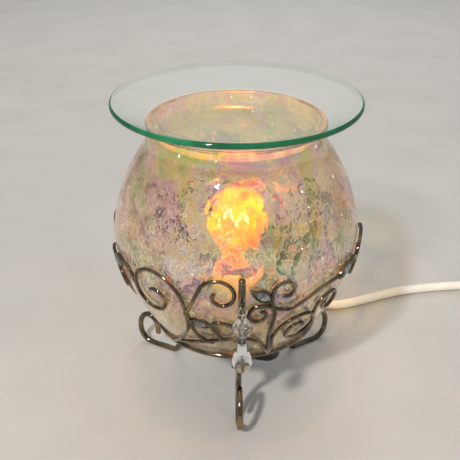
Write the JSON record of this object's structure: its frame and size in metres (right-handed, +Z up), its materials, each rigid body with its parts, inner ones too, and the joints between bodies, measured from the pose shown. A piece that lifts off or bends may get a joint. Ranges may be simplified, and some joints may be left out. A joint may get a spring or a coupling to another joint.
{
  "type": "aroma lamp",
  "caption": "Electric aroma lamp: a flared glass oil dish on a crackle-glass globe in a scroll-wire stand with leaf stones and hanging crystals, with a bulb inside and a corded switch.",
  "frame": {"origin": "on the floor, under the middle of the lamp's outline without its cord", "axes": "+Z up, -Y towards the front leg, +X to the right as seen from the front"},
  "size_m": [0.3267, 0.1856, 0.172],
  "materials": {
    "dish_glass": "clear, polished",
    "crackle_glass": "crackled, iridescent",
    "bulb_glass": "clear, lit",
    "dark_metal": "polished, dark antique plating",
    "brass": "plain",
    "nickel": "nickel plated",
    "white_plastic": "smooth",
    "cord_pvc": "smooth soft PVC",
    "black_plastic": "moulded",
    "crystal": "faceted, clear",
    "stone": "faceted, smoky",
    "filament": "glowing wire"
  },
  "bodies": {
    "stand": {"candle_sleeve": "white_plastic", "lampholder_body": "white_plastic", "lampholder_screw_shell": "brass", "lampholder_contact": "brass", "base_plate": "dark_metal", "threaded_nipple": "brass", "lock_washer": "nickel", "lock_nut": "brass", "wiring_cover": "black_plastic", "strain_relief": "black_plastic", "hoop": "dark_metal", "leg_front": "dark_metal", "leg_right": "dark_metal", "leg_left": "dark_metal", "scrollwork_right": "dark_metal", "scrollwork_back": "dark_metal", "scrollwork_left": "dark_metal", "leaf_stone_right_1": "stone", "leaf_stone_right_2": "stone", "leaf_stone_right_3": "stone", "leaf_stone_back_1": "stone", "leaf_stone_back_2": "stone", "leaf_stone_back_3": "stone", "leaf_stone_left_1": "stone", "leaf_stone_left_2": "stone", "leaf_stone_left_3": "stone", "cord_lead": "cord_pvc", "cord_coil": "cord_pvc", "cord_tie": "black_plastic", "switch_lower_shell": "white_plastic", "switch_upper_shell": "white_plastic", "plug_body": "cord_pvc", "plug_blade_front": "brass", "plug_blade_back": "brass"},
    "globe": {"glass_globe": "crackle_glass"},
    "dish": {"glass_dish": "dish_glass"},
    "bulb": {"bulb_glass": "bulb_glass", "bulb_screw_cap": "nickel", "bulb_insulator": "black_plastic", "bulb_contact": "nickel", "bulb_stem": "bulb_glass", "bulb_filament": "filament"},
    "crystals_front": {"crystal_link_front": "nickel", "crystal_bead_front": "crystal", "crystal_drop_front": "crystal"},
    "crystals_right": {"crystal_link_right": "nickel", "crystal_bead_right": "crystal", "crystal_drop_right": "crystal"},
    "crystals_left": {"crystal_link_left": "nickel", "crystal_bead_left": "crystal", "crystal_drop_left": "crystal"},
    "rocker": {"switch_rocker": "white_plastic"}
  },
  "joints": [
    {"name": "globe_lift", "type": "slide", "parent": "stand", "child": "globe", "axis": [0, 0, 1], "range_m": [0, 0.12]},
    {"name": "dish_lift", "type": "slide", "parent": "globe", "child": "dish", "axis": [0, 0, 1], "range_m": [0, 0.06]},
    {"name": "bulb_lift", "type": "slide", "parent": "stand", "child": "bulb", "axis": [0, 0, 1], "range_m": [0, 0.024]},
    {"name": "crystal_swing_front", "type": "hinge", "parent": "stand", "child": "crystals_front", "pos_m": [0, -0.0666, 0.0939], "axis": [-1, 0, 0], "range_deg": [0, 55]},
    {"name": "crystal_swing_right", "type": "hinge", "parent": "stand", "child": "crystals_right", "pos_m": [0.06141, 0.03976, 0.0939], "axis": [0.5, -0.866, 0], "range_deg": [0, 55]},
    {"name": "crystal_swing_left", "type": "hinge", "parent": "stand", "child": "crystals_left", "pos_m": [-0.06141, 0.03976, 0.0939], "axis": [0.5, 0.866, 0], "range_deg": [0, 55]},
    {"name": "rocker_tilt", "type": "hinge", "parent": "stand", "child": "rocker", "pos_m": [0.249, 0.024, 0.013], "axis": [1, 0, 0], "range_deg": [-14, 0]}
  ]
}
